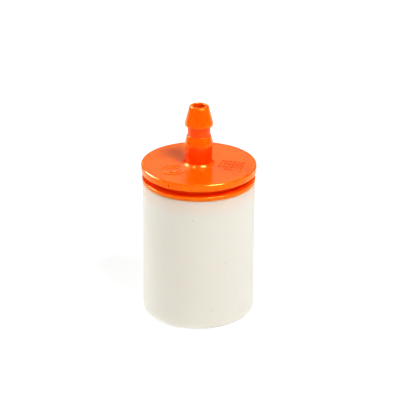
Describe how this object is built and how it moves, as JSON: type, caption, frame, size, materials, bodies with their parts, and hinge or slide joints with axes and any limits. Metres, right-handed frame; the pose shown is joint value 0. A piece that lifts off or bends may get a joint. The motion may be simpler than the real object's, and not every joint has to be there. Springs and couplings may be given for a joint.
{
  "type": "in-tank fuel filter",
  "caption": "Small engine pickup filter: orange cap with a barbed hose spigot pressed into a white porous cup, with an inner strainer cage, mesh sleeve and steel sinker.",
  "frame": {"origin": "centre of the cup's bottom face, on the common axis of every piece", "axes": "+Z along the common axis, from the cup's closed bottom to the spigot's tip; -Y is the side with the row of pips on the rim, and +X the side with the rows of raised bars"},
  "size_m": [0.0204, 0.0204, 0.039],
  "materials": {
    "cap": "glossy injection-moulded orange nylon, slightly translucent at thin edges",
    "porous_cup": "off-white sintered polyethylene, fine grained and matt with a waxy look",
    "cage": "natural uncoloured nylon moulding",
    "mesh": "fine plain-woven nylon monofilament mesh",
    "sinker": "turned steel with thin bright zinc plating"
  },
  "bodies": {
    "root": {"spigot_cap": "cap", "filter_cup": "porous_cup", "strainer_cage": "cage", "strainer_mesh": "mesh", "sinker_weight": "sinker"}
  },
  "joints": []
}
